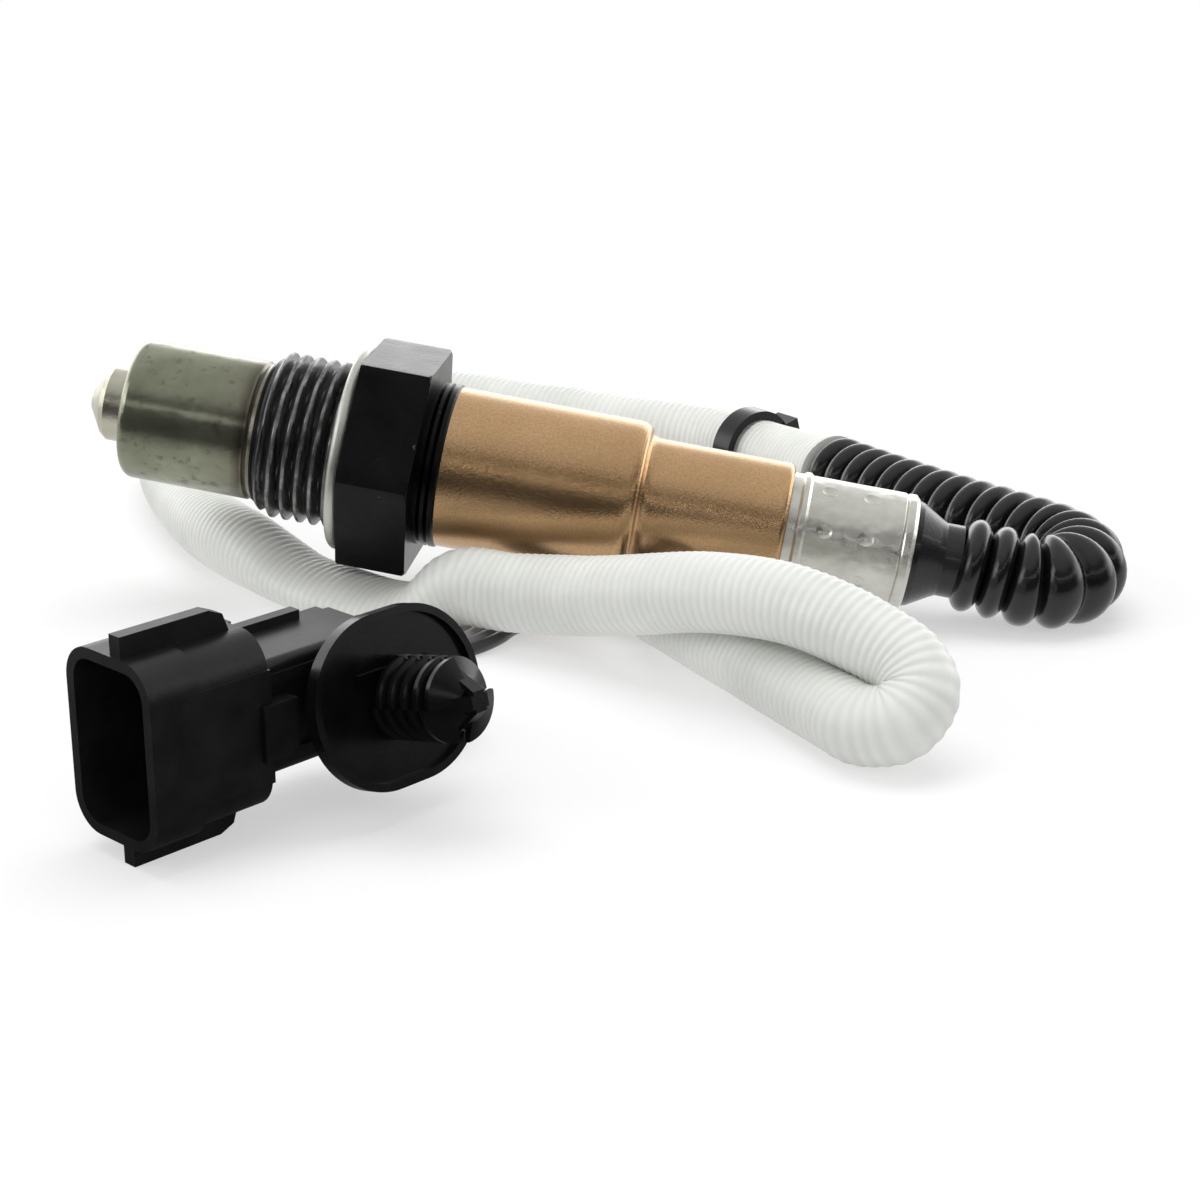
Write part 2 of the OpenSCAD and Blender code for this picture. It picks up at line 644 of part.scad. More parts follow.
// The lock that snaps in from the side and holds the terminals back
module secondary_lock() {
    color([0.2, 0.2, 0.2]) in_plug()
        translate([block_x, -shroud_w / 2 - 0.5, lock_z - lock_h / 2])
            cube([lock_len, shroud_w / 2 + 0.5 - tail_w / 2 + 0.8, lock_h]);
}
module wire_seal() {
    color([0.6, 0.25, 0.2]) in_plug() difference() {
        translate([pin_end_x, -seal_w / 2 + fit, -seal_h / 2 + fit])
            cube([seal_len, seal_w - 2 * fit, seal_h - 2 * fit]);
        for (i = [0 : 3])
            translate([0, 0, pin_z(i)]) rod(shroud_len, shroud_len + tail_len + 1, wire_d + 0.1);
    }
}
module rear_cover() {
    color([0.14, 0.14, 0.14]) in_plug() difference() {
        rounded_bar(shroud_len + tail_len, plug_end_x, tail_w - 0.6, tail_h - 0.6, 0.8);
        for (i = [0 : 3])
            translate([0, 0, pin_z(i)]) rod(shroud_len, plug_end_x + 1, wire_d + 0.4);
    }
}

// Oval spring flange, a barbed stud in four quarters, and the foot that grips the housing
module oval(long, short) {
    half = (long - short) / 2;
    for (x = [-half, half])
        translate([x, 0]) circle(d = short);
    square([2 * half, short], center = true);
}
module panel_clip() {
    core = 1.3;
    body_r = barb_d / 2 - 0.9;
    web = 1.2;
    pitch = (stud_len - 3.6) / barb_rows;
    rise = 1.2;
    color([0.08, 0.08, 0.08]) in_plug()
        translate([clip_x, clip_y, 0]) rotate([90 - clip_tilt, 0, 0]) {
            linear_extrude(flange_t) oval(flange_long, flange_short);
            translate([0, 0, flange_t]) linear_extrude(rim_h) difference() {
                oval(flange_long, flange_short);
                oval(flange_long - 1.4, flange_short - 1.4);
            }
            translate([0, 0, flange_t]) cylinder(r = core, h = stud_len - 1.6);
            for (a = [0, 90])
                rotate([0, 0, a]) translate([0, web / 2, 0]) rotate([90, 0, 0])
                    linear_extrude(web) polygon([
                        [-2.9, flange_t], [-2.9, stud_len - 3], [-0.9, stud_len],
                        [0.9, stud_len], [2.9, stud_len - 3], [2.9, flange_t]
                    ]);
            // Two opposite quarters are solid under their barbs, the other two are open
            for (quarter = [0, 2])
                rotate([0, 0, 90 * quarter]) translate([0, 0, flange_t])
                    rotate_extrude(angle = 90) polygon([
                        [0.4, 0], [body_r, 0], [body_r, stud_len - 4.6],
                        [body_r + 0.5, stud_len - 4.6], [0.9, stud_len - 1.2], [0.4, stud_len - 1.2]
                    ]);
            for (row = [0 : barb_rows - 1], quarter = [0 : 3])
                rotate([0, 0, 90 * quarter])
                    translate([0, 0, flange_t + 0.9 + pitch * row + (quarter % 2) * pitch / 2])
                        rotate_extrude(angle = 90) polygon([
                            [0.4, rise - 0.5], [barb_d / 2, 0], [barb_d / 2, 0.45],
                            [core, rise + 0.4], [0.4, rise + 0.4]
                        ]);
        }
    foot_y = -tail_w / 2;
    color([0.08, 0.08, 0.08]) in_plug()
        translate([clip_x - 4, clip_y - 0.4, -3]) cube([8, foot_y - clip_y + 0.4, 6]);
}

nose_tube();
outer_probe_tube();
hex_shell();
sealing_ring();
sensing_element();
front_ceramic();
talc_packing();
rear_ceramic();
press_ring();
contact_holder();
contact_springs();
holder_spring_ring();
wire_barrels();
copper_sleeve();
rubber_grommet();
lead_wires();
crimp_collar();
rubber_boot();
bellows_tube();
cable_sleeve();
cable_tie();
wire_1();
wire_2();
wire_3();
wire_4();
connector_housing();
terminal_pins();
secondary_lock();
wire_seal();
rear_cover();
panel_clip();
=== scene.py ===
import math

import bpy
import numpy as np
from mathutils import Matrix, Vector, noise


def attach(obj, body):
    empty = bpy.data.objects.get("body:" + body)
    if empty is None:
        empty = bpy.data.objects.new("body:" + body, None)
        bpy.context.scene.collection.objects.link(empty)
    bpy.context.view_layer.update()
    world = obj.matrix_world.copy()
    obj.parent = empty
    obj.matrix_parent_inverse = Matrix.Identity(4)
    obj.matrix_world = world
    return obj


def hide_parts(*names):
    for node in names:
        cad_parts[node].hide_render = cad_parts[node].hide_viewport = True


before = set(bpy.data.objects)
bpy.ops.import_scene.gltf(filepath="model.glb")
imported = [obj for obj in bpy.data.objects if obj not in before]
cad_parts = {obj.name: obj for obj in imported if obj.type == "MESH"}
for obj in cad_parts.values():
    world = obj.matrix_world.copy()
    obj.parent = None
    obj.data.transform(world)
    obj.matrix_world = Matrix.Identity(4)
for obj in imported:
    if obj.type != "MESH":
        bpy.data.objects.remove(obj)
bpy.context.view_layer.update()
MM = 0.001

# The sensor's own frame: its pieces are measured along +X from the plane where the sealing ring seats.
TILT = math.radians(9.2)
YAW = math.radians(-6.5)
SENSOR = Matrix.Rotation(YAW, 4, "Z") @ Matrix.Rotation(TILT, 4, "Y")
AXIS = (SENSOR @ Vector((1, 0, 0))).normalized()
PLUG_YAW = math.radians(47)
PLUG = Matrix.Translation(Vector((-12.6, -66.5, -7.35)) * MM) @ Matrix.Rotation(PLUG_YAW, 4, "Z")
GROUND = -17.4  # the table, in mm


# Routes, in mm; the sleeve's points also carry half its width and half its height
def along_axis(x):
    return tuple(AXIS * x)


JOINT = (55.6, 32.2, -12.4)
bellows_route = [
    along_axis(66.15), (68.5, -8, -11.4), (72.3, -8.6, -12.2), (75.9, -8.2, -12.4), (78, -5.8, -12.4),
    (78.8, -2.2, -12.4), (77.9, 1.8, -12.4), (75.4, 5.6, -12.4), (72.6, 9.2, -12.4),
    (68.2, 14.4, -12.4), (64, 20, -12.4), (59.6, 26.2, -12.4), JOINT,
]
sleeve_route = [
    JOINT + (5, 5), (53, 36.8, -12.8, 4.6, 4.6), (50, 42, -13, 4.3, 4.3),
    (43, 51.4, -13.2, 4.2, 4.2), (33.5, 57.2, -13.2, 4.2, 4.2), (20.5, 65, -13.2, 4.2, 4.2),
    (5, 73.4, -13.2, 4.2, 4.2), (-5, 74.6, -13.2, 4.2, 4.2), (-15, 72, -13.2, 4.2, 4.2),
    (-22.5, 66, -13.2, 4.2, 4.2), (-26.5, 57, -13.2, 4.2, 4.2), (-27.3, 47, -13.2, 4.2, 4.2),
    (-26, 37, -13.2, 4.2, 4.2), (-23, 27, -13.2, 4.2, 4.2), (-18, 15, -13.2, 4.2, 4.2),
    (-12, 5.4, -13.2, 4.2, 4.2), (-5.4, -1.5, -14.5, 4.6, 2.9), (-0.6, -5.4, -14.8, 4.9, 2.6),
    (4, -8.5, -14.95, 5, 2.45), (8.2, -11, -14.4, 4.8, 2.95), (12.5, -12.4, -11.7, 4.2, 4.1),
    (18, -14.9, -11.4, 4.2, 4.2), (24, -18.2, -10.6, 4.2, 4.2), (31.5, -24.2, -8.4, 4.1, 4.1),
    (38, -29.6, -6.4, 4, 4), (45, -35.2, -5.7, 3.9, 3.9), (51, -40, -6.8, 3.8, 3.8),
    (55, -43.6, -8.6, 3.8, 3.8), (55.8, -45.8, -10.4, 3.8, 3.8), (54, -47.2, -12.6, 3.8, 3.8),
    (51, -45.8, -13.6, 3.8, 3.8), (49, -42.6, -13.6, 3.8, 3.8), (46.4, -38, -13.6, 3.8, 3.8),
    (43.6, -32.8, -13.6, 3.8, 3.8), (40.6, -27.4, -13.6, 3.8, 3.8), (37.6, -21.8, -13.5, 3.9, 3.9),
    (33.6, -14.4, -13.2, 4.2, 4.2),
]
WIRE_R = 0.7
WIRE_Z = GROUND + WIRE_R
LANE = 1.5  # between neighbouring wires of the flat ribbon
PIN_PITCH = 2.4  # between neighbouring terminals of the plug
PIN_TAIL, PLUG_REAR = 21, 28.7  # where a wire starts and where it leaves the plug, along the plug
ribbon = [
    (9, -33, WIRE_Z), (6.6, -27.5, WIRE_Z), (5.6, -22, WIRE_Z), (6.6, -18.4, WIRE_Z),
    (9.6, -16.8, WIRE_Z), (12.6, -15.6, WIRE_Z), (14.6, -13, WIRE_Z), (16.2, -9.8, WIRE_Z),
    (18.8, -7.6, WIRE_Z), (22.5, -6.8, WIRE_Z), (26, -7.2, WIRE_Z), (29, -8.6, -15.6),
    (31.2, -10.4, -14.4),
]


def plug_point(x, y, z):
    return np.array(PLUG @ (Vector((x, y, z)) * MM)) / MM


def flat_ways(points):
    """The unit direction of the line at each of its points."""
    p = np.array(points, float)
    d = np.diff(p, axis=0)
    d /= np.linalg.norm(d, axis=1)[:, None]
    w = np.vstack([d[:1], d[:-1] + d[1:], d[-1:]])
    return w / np.linalg.norm(w, axis=1)[:, None]


def left_of(w):
    v = np.array([-w[1], w[0], 0.0])
    return v / np.linalg.norm(v)


def wire_route(i):
    """Out of the plug one over the other, then side by side on the table, then into the sleeve."""
    pin_z = (i - 1.5) * PIN_PITCH
    side = (1.5 - i) * LANE
    fan_out = np.array([9.6 + LANE * i, -40.5, WIRE_Z + 1.2 + 1.3 * i])
    out = [plug_point(PIN_TAIL, 0, pin_z), plug_point(PLUG_REAR, 0, pin_z), fan_out]
    for p, w in zip(ribbon, flat_ways(ribbon)):
        out.append(np.array(p, float) + side * left_of(w))
    end = np.array(sleeve_route[-1][:3], float)
    way = end - np.array(sleeve_route[-2][:3], float)
    way /= np.linalg.norm(way)
    out.append(end + 2 * way - side * left_of(way))
    out.append(end - side * left_of(way))
    return out


def smooth_line(points, step):
    """Points about one step apart on a smooth curve through the route, all columns carried along."""
    p = np.array(points, float)
    n = len(p)
    gap = np.maximum(np.linalg.norm(np.diff(p[:, :3], axis=0), axis=1), 1e-6) ** 0.5
    t = np.concatenate([[0], np.cumsum(gap)])
    first = 2 * p[0] - p[1]
    end = 2 * p[-1] - p[-2]
    q = np.vstack([first, p, end])
    tt = np.concatenate([[t[0] - gap[0]], t, [t[-1] + gap[-1]]])
    out = []
    for i in range(n - 1):
        p0, p1, p2, p3 = q[i : i + 4]
        t0, t1, t2, t3 = tt[i : i + 4]
        for u in np.linspace(t1, t2, 24, endpoint=False):
            a1 = (t1 - u) / (t1 - t0) * p0 + (u - t0) / (t1 - t0) * p1
            a2 = (t2 - u) / (t2 - t1) * p1 + (u - t1) / (t2 - t1) * p2
            a3 = (t3 - u) / (t3 - t2) * p2 + (u - t2) / (t3 - t2) * p3
            b1 = (t2 - u) / (t2 - t0) * a1 + (u - t0) / (t2 - t0) * a2
            b2 = (t3 - u) / (t3 - t1) * a2 + (u - t1) / (t3 - t1) * a3
            out.append((t2 - u) / (t2 - t1) * b1 + (u - t1) / (t2 - t1) * b2)
    out.append(p[-1])
    out = np.array(out)
    s = np.concatenate([[0], np.cumsum(np.linalg.norm(np.diff(out[:, :3], axis=0), axis=1))])
    m = max(2, int(round(s[-1] / step)) + 1)
    even = np.linspace(0, s[-1], m)
    return np.column_stack([np.interp(even, s, out[:, k]) for k in range(out.shape[1])]), even


# Mesh helpers
def new_mesh(name, verts, faces, uvs, sharp, attrs):
    me = bpy.data.meshes.new(name)
    me.from_pydata([tuple(v) for v in verts], [], faces)
    me.polygons.foreach_set("use_smooth", [True] * len(me.polygons))
    if uvs is not None:
        layer = me.uv_layers.new(name="UVMap")
        loops = np.zeros(len(me.loops), dtype=np.int64)
        me.loops.foreach_get("vertex_index", loops)
        layer.data.foreach_set("uv", np.asarray(uvs, np.float32)[loops].ravel())
    for key, values in attrs.items():
        a = me.attributes.new(key, "FLOAT", "POINT")
        a.data.foreach_set("value", np.asarray(values, np.float32))
    me.set_sharp_from_angle(angle=math.radians(sharp))
    obj = bpy.data.objects.new(name, me)
    bpy.context.scene.collection.objects.link(obj)
    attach(obj, "root")
    return obj


def frames_along(line):
    """Directions of a line and normals carried along it without twist."""
    p = line[:, :3]
    w = flat_ways(p)
    n = np.zeros_like(w)
    up = np.array([0, 0, 1.0])
    n[0] = up - up @ w[0] * w[0]
    n[0] /= np.linalg.norm(n[0])
    for i in range(1, len(w)):
        v = n[i - 1] - n[i - 1] @ w[i] * w[i]
        n[i] = v / np.linalg.norm(v)
    return w, n


RIM = 0.84  # the mouth of a recessed end, as a share of the tube


def tube(name, line, half_w, half_h, sides, caps=(0, 0), attrs=None, sharp=70):
    """A swept tube in mm; caps are how deep each end is recessed, inside a rim."""
    w, n = frames_along(line)
    s = np.cross(w, n)
    a = np.linspace(0, 2 * math.pi, sides, endpoint=False)
    ring = (
        line[:, None, :3]
        + half_w[:, :, None] * np.cos(a)[None, :, None] * s[:, None, :]
        + half_h[:, :, None] * np.sin(a)[None, :, None] * n[:, None, :]
    )
    rings = [ring[i] for i in range(len(line))]
    extra = []
    for end, depth in ((0, caps[0]), (-1, caps[1])):
        if depth:
            sign = 1 if end == 0 else -1
            c = line[end, :3]
            inner = c + (ring[end] - c) * RIM
            extra.append((end, inner, inner + sign * depth * w[end]))
    verts = [v for r in rings for v in r]
    faces = []
    m = len(rings)
    for i in range(m - 1):
        for j in range(sides):
            k = (j + 1) % sides
            faces.append((i * sides + j, i * sides + k, (i + 1) * sides + k, (i + 1) * sides + j))
    ends = {0: list(range(sides)), -1: list(range((m - 1) * sides, m * sides))}
    for end, inner, deep in extra:
        for loop in (inner, deep):
            base = len(verts)
            verts.extend(loop)
            new = list(range(base, base + sides))
            old = ends[end]
            for j in range(sides):
                k = (j + 1) % sides
                f = (old[j], old[k], new[k], new[j])
                faces.append(f[::-1] if end == 0 else f)
            ends[end] = new
    faces.append(tuple(ends[0][::-1]))
    faces.append(tuple(ends[-1]))
    dist = np.concatenate([[0], np.cumsum(np.linalg.norm(np.diff(line[:, :3], axis=0), axis=1))])
    uv = [(j / sides, dist[i] / 10) for i in range(m) for j in range(sides)]
    uv += [(0, 0)] * (len(verts) - len(uv))
    spread = {k: np.concatenate([np.repeat(v, sides), np.zeros(len(verts) - m * sides)])
              for k, v in (attrs or {}).items()}
    return new_mesh(name, np.array(verts) * MM, faces, uv, sharp, spread)


# Materials
class Nodes:
    """Adds nodes to the tree of a material or a world and links them."""

    def __init__(self, owner):
        owner.use_nodes = True
        self.owner = owner
        self.tree = owner.node_tree
        self.bsdf = self.tree.nodes.get("Principled BSDF")
        self.coord = self.tree.nodes.new("ShaderNodeTexCoord").outputs["Object"]

    @classmethod
    def material(cls, name):
        return cls(bpy.data.materials.new(name))

    def put(self, socket, value):
        if isinstance(value, bpy.types.NodeSocket):
            self.tree.links.new(value, socket)
        else:
            socket.default_value = value

    def add(self, kind, **sockets):
        node = self.tree.nodes.new("ShaderNode" + kind)
        for key, value in sockets.items():
            name = key.replace("_", " ")
            if key[0].islower():
                setattr(node, key, value)
            else:
                self.put(node.inputs[name], value)
        return node

    def noise(self, scale, detail=3.0, rough=0.6, vector=None):
        return self.add("TexNoise", Vector=vector or self.coord, Scale=scale, Detail=detail,
                        Roughness=rough).outputs["Fac"]

    def ramp(self, fac, stops):
        node = self.add("ValToRGB", Fac=fac)
        elements = node.color_ramp.elements
        for place, _ in stops[1:-1]:
            elements.new(place)
        elements[0].position = stops[0][0]
        elements[len(elements) - 1].position = stops[-1][0]
        for element, (_, value) in zip(elements, stops):
            element.color = (*value, 1) if isinstance(value, tuple) else (value, value, value, 1)
        return node.outputs["Color"]

    def math(self, op, *values, clamp=False):
        node = self.tree.nodes.new("ShaderNodeMath")
        node.operation = op
        node.use_clamp = clamp
        for socket, value in zip(node.inputs, values):
            self.put(socket, value)
        return node.outputs[0]

    def station(self):
        """Distance along the sensor's axis in mm."""
        node = self.tree.nodes.new("ShaderNodeVectorMath")
        node.operation = "DOT_PRODUCT"
        self.put(node.inputs[0], self.coord)
        self.put(node.inputs[1], tuple(AXIS * 1000))
        return node.outputs["Value"]

    def mix(self, fac, a, b):
        node = self.tree.nodes.new("ShaderNodeMix")
        node.data_type = "RGBA"
        self.put(node.inputs[0], fac)
        self.put(node.inputs[6], a if isinstance(a, bpy.types.NodeSocket) else (*a, 1))
        self.put(node.inputs[7], b if isinstance(b, bpy.types.NodeSocket) else (*b, 1))
        return node.outputs[2]

    def attribute(self, name):
        node = self.tree.nodes.new("ShaderNodeAttribute")
        node.attribute_name = name
        return node.outputs["Fac"]

    def bump(self, height, distance, strength=1.0):
        node = self.add("Bump", Height=height, Distance=distance, Strength=strength)
        self.put(self.bsdf.inputs["Normal"], node.outputs["Normal"])

    def finish(self, Color, **sockets):
        self.put(self.bsdf.inputs["Base Color"], Color)
        for key, value in sockets.items():
            self.put(self.bsdf.inputs[key.replace("_", " ")], value)
        return self.owner


def brushed(name, dark, light, rough, metal=1.0, scale=260):
    """Bare metal with a fine grain."""
    n = Nodes.material(name)
    grain = n.noise(scale)
    n.bump(n.noise(scale * 9, 2), 0.00002)
    return n.finish(Color=n.ramp(grain, [(0.3, dark), (0.7, light)]), Metallic=metal,
                    Roughness=n.math("ADD", n.math("MULTIPLY", grain, 0.14), rough))


def plain(name, dark, light, rough, scale=300, bump=0.00003, coat=0.0):
    """Plastic, rubber or ceramic."""
    n = Nodes.material(name)
    grain = n.noise(scale)
    n.bump(n.noise(2500, 2), bump)
    shine = 0.32 if light[0] < 0.02 else 0.5  # black plastic and rubber shine less
    return n.finish(Color=n.ramp(grain, [(0.3, dark), (0.7, light)]), Coat_Weight=coat,
                    Specular_IOR_Level=shine,
                    Roughness=n.math("ADD", n.math("MULTIPLY", grain, 0.12), rough))


def probe_steel():
    """Heat tinted steel: olive, with a darker band near the shell, grime and specks."""
    n = Nodes.material("probe_steel")
    grain = n.noise(170, 4)
    station = n.math("ADD", n.station(), n.math("MULTIPLY", grain, 1.2))
    along = n.math("DIVIDE", n.math("ADD", station, 28.0), 20.0, clamp=True)
    tint = n.ramp(along, [(0.0, (0.36, 0.36, 0.29)), (0.2, (0.33, 0.33, 0.26)), (0.3, (0.28, 0.29, 0.215)),
                          (0.7, (0.27, 0.28, 0.205)), (0.88, (0.2, 0.2, 0.15)), (0.93, (0.08, 0.07, 0.05)),
                          (0.96, (0.2, 0.19, 0.15)), (1.0, (0.1, 0.09, 0.08))])
    n.bump(n.noise(700, 5), 0.00004)
    grime = n.ramp(n.noise(110, 6), [(0.42, 0.0), (0.7, 0.75)])
    specks = n.ramp(n.noise(900, 5), [(0.56, 0.0), (0.68, 0.6)])
    tint = n.mix(grime, tint, (0.13, 0.135, 0.095))
    return n.finish(Color=n.mix(specks, tint, (0.08, 0.08, 0.055)), Metallic=0.92,
                    Roughness=n.math("ADD", n.math("MULTIPLY", grain, 0.2), 0.12))


def shell_steel():
    """Black oxide with bright specks, and a greased thread with a painted highlight on its crests."""
    n = Nodes.material("shell_steel")
    grain = n.noise(220, 4)
    crest = n.attribute("crest")
    greasy = n.attribute("thread")
    body = n.ramp(grain, [(0.3, (0.004, 0.004, 0.0045)), (0.7, (0.01, 0.01, 0.0105))])
    waver = n.math("MULTIPLY", n.noise(260, 3), 1.5)
    streaks = n.add("TexNoise", noise_dimensions="1D", Scale=2.2, Detail=3.0,
                    W=n.math("ADD", n.station(), waver)).outputs["Fac"]
    thread = n.ramp(streaks, [(0.35, (0.025, 0.025, 0.027)), (0.65, (0.12, 0.12, 0.12))])
    # Painted highlight: the thread's crests are painted lighter, at random strength.
    crest_highlight = n.ramp(n.noise(480, 4), [(0.35, (0.08, 0.08, 0.08)), (0.7, (0.3, 0.3, 0.29))])
    thread = n.mix(crest, thread, crest_highlight)
    n.bump(n.noise(1500, 3), 0.00003)
    speck = n.ramp(n.noise(1300, 2), [(0.72, 0.0), (0.78, 0.35)])
    body = n.mix(speck, body, (0.3, 0.3, 0.29))
    return n.finish(Color=n.mix(greasy, body, thread), Metallic=0.85,
                    Roughness=n.math("ADD", n.math("MULTIPLY", grain, 0.15), 0.24))


def copper():
    n = Nodes.material("copper_plate")
    grain = n.noise(120, 4)
    fine = n.noise(4200, 3)
    n.bump(fine, 0.00003)
    tone = n.ramp(grain, [(0.25, (0.48, 0.3, 0.15)), (0.75, (0.57, 0.365, 0.195))])
    speck = n.ramp(fine, [(0.4, 0.0), (0.75, 0.55)])
    return n.finish(Color=n.mix(speck, tone, (0.3, 0.19, 0.1)), Metallic=0.95,
                    Roughness=n.math("ADD", n.math("MULTIPLY", grain, 0.1), 0.17))


def pressed_steel():
    n = Nodes.material("pressed_steel")
    grain = n.noise(300)
    wave = n.noise(230, 2)
    n.bump(n.math("ADD", wave, n.math("MULTIPLY", n.noise(1900, 3), 0.06)), 0.0004)
    tone = n.ramp(grain, [(0.3, (0.5, 0.495, 0.45)), (0.7, (0.64, 0.63, 0.58))])
    return n.finish(Color=tone, Metallic=0.92,
                    Roughness=n.math("ADD", n.math("MULTIPLY", grain, 0.16), 0.2))


def hose_cloth():
    n = Nodes.material("hose_cloth")
    rib = n.attribute("rib")
    soil = n.noise(60, 4)
    base = n.ramp(soil, [(0.35, (0.62, 0.63, 0.595)), (0.6, (0.72, 0.73, 0.695))])
    n.bump(n.noise(5200, 2), 0.00004, 0.5)
    # Painted shade: the hose is painted darker in the grooves between its ribs.
    groove_shade = n.math("MULTIPLY", n.math("SUBTRACT", 1.0, rib), 0.22)
    return n.finish(Color=n.mix(groove_shade, base, (0.4, 0.42, 0.4)), Roughness=0.42, Sheen_Weight=0.25)


def bellows_rubber():
    n = Nodes.material("bellows_rubber")
    rib = n.attribute("rib")
    n.bump(n.noise(1800, 3), 0.00004, 0.5)
    # Painted shade: the grooves between the rolls are painted darker than the rolls' tops.
    return n.finish(Color=n.mix(rib, (0.002, 0.002, 0.002), (0.004, 0.004, 0.004)),
                    Roughness=n.math("ADD", n.math("MULTIPLY", n.noise(400, 3), 0.12), 0.14),
                    Specular_IOR_Level=0.5)


MATS = {
    "steel_olive": probe_steel(),
    "steel_nose": brushed("nose_steel", (0.42, 0.41, 0.32), (0.54, 0.52, 0.43), 0.22, scale=300),
    "steel_bright": brushed("bright_steel", (0.62, 0.61, 0.56), (0.74, 0.73, 0.68), 0.24, metal=0.9),
    "pressed": pressed_steel(),
    "gasket": brushed("gasket_steel", (0.42, 0.42, 0.38), (0.56, 0.56, 0.52), 0.34, metal=0.85),
    "copper": copper(),
    "ceramic": plain("ceramic", (0.8, 0.78, 0.72), (0.88, 0.86, 0.8), 0.5),
    "talc": plain("talc", (0.7, 0.67, 0.58), (0.8, 0.77, 0.7), 0.8),
    "contact": brushed("contact_alloy", (0.68, 0.54, 0.26), (0.8, 0.66, 0.36), 0.25),
    "boot": plain("boot_rubber", (0.006, 0.006, 0.006), (0.012, 0.012, 0.012), 0.22, coat=0.2),
    "grommet": plain("grommet_rubber", (0.06, 0.035, 0.03), (0.1, 0.06, 0.05), 0.6),
    "wire_white": plain("wire_white", (0.62, 0.62, 0.6), (0.74, 0.74, 0.72), 0.35, scale=90),
    "wire_grey": plain("wire_grey", (0.2, 0.2, 0.2), (0.27, 0.27, 0.27), 0.35, scale=90),
    "wire_black": plain("wire_black", (0.02, 0.02, 0.02), (0.04, 0.04, 0.04), 0.35, scale=90),
    "plastic": plain("plug_plastic", (0.0035, 0.0035, 0.004), (0.008, 0.008, 0.009), 0.34,
                     bump=0.000015),
    "clip": plain("clip_plastic", (0.002, 0.002, 0.0023), (0.004, 0.004, 0.0045), 0.16,
                  bump=0.000006),
    "tin": brushed("tin", (0.62, 0.6, 0.52), (0.74, 0.72, 0.64), 0.22),
    "seal": plain("seal_rubber", (0.32, 0.07, 0.05), (0.4, 0.1, 0.07), 0.55),
}


def paint(obj, mat):
    obj.data.materials.clear()
    obj.data.materials.append(mat)


# Cords
def rib_profile(phase):
    """1 on a crest and 0 in a root, with a round crest and a narrow root."""
    return max(0.0, math.cos(2 * math.pi * phase) * 0.5 + 0.5) ** 0.8


def roll_profile(phase):
    """0 in a groove and 1 on the top of a round roll."""
    u = abs(2 * (phase % 1.0) - 1)
    return (1 - u ** 2) ** 0.72


BELLOWS_ROLLS = 21
GROOVE_R, ROLL_DEPTH = 3.6, 1.4


def make_bellows():
    line, s = smooth_line(bellows_route, 0.15)
    pitch = s[-1] / BELLOWS_ROLLS
    wave = np.array([roll_profile(v / pitch) for v in s])
    r = (GROOVE_R + ROLL_DEPTH * wave)[:, None]
    obj = tube("bellows", line, r, r, 40, sharp=80, attrs={"rib": wave})
    paint(obj, bellows_rubber())
    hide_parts("bellows_tube")


RIB_PITCH = 0.9
RIB_DEPTH = 0.12
MOUTH_DEPTH = 2.5
SLEEVE_SIDES = 28


def make_sleeve():
    line, s = smooth_line(sleeve_route, RIB_PITCH / 6)
    wave = np.array([rib_profile(v / RIB_PITCH) for v in s])
    slack = np.array([noise.noise(Vector((v * 0.11, 3.7, 0))) for v in s])
    a = np.linspace(0, 2 * math.pi, SLEEVE_SIDES, endpoint=False)
    dent = np.array([[noise.noise(Vector((v * 0.16, 1.6 * math.cos(t), 1.6 * math.sin(t)))) for t in a]
                     for v in s[::10]])
    dent = np.column_stack([np.interp(s, s[::10], dent[:, j]) for j in range(SLEEVE_SIDES)])
    ribs = (RIB_DEPTH + 0.04 * slack[:, None]) * (1 - wave[:, None])
    grow = -0.05 + 0.05 * slack[:, None] - 0.16 * np.maximum(dent, 0) - ribs
    obj = tube("sleeve", line, line[:, 3:4] + grow, line[:, 4:5] + grow, SLEEVE_SIDES,
               caps=(0, MOUTH_DEPTH), sharp=80, attrs={"rib": wave})
    paint(obj, hose_cloth())
    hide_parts("cable_sleeve")


def make_wire(i, colour):
    line, s = smooth_line(wire_route(i), 0.6)
    line[:, 2] = np.maximum(line[:, 2], WIRE_Z)
    r = np.full((len(line), 1), WIRE_R)
    obj = tube(f"loose_wire_{i + 1}", line, r, r, 12)
    paint(obj, MATS[colour])
    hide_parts(f"wire_{i + 1}")


make_bellows()
make_sleeve()
make_wire(0, "wire_white")
make_wire(1, "wire_white")
make_wire(2, "wire_grey")
make_wire(3, "wire_black")

# Camera
camera_data = bpy.data.cameras.new("camera")
camera_data.sensor_width = 36
camera_data.lens = 69.57
camera = bpy.data.objects.new("camera", camera_data)
camera.location = (0.02707, -0.24059, 0.06549)
camera.rotation_euler = (math.radians(71), 0, 0)
bpy.context.scene.collection.objects.link(camera)
bpy.context.scene.camera = camera

# Shell with its thread, in mm along the sensor's axis
PITCH = 1.5
THREAD_START, THREAD_LENGTH, THREAD_ROWS = -8.35, 8.3, 76
NECK_X, NECK_R = -8.4, 6.85
CREST_R, LEAD_IN_R, ROOT_R, THREAD_DEPTH = 8.925, 8.05, 7.95, 0.92
SEAT_R = 7.975
HEX_START, HEX_END = 1.4, 8.9
HEX_FLAT_R, HEX_CORNER_R = 11, 12.8
COLLAR_R, GROOVE_FLOOR_R = 8.8, 8.45
SHELL_STEPS = 180


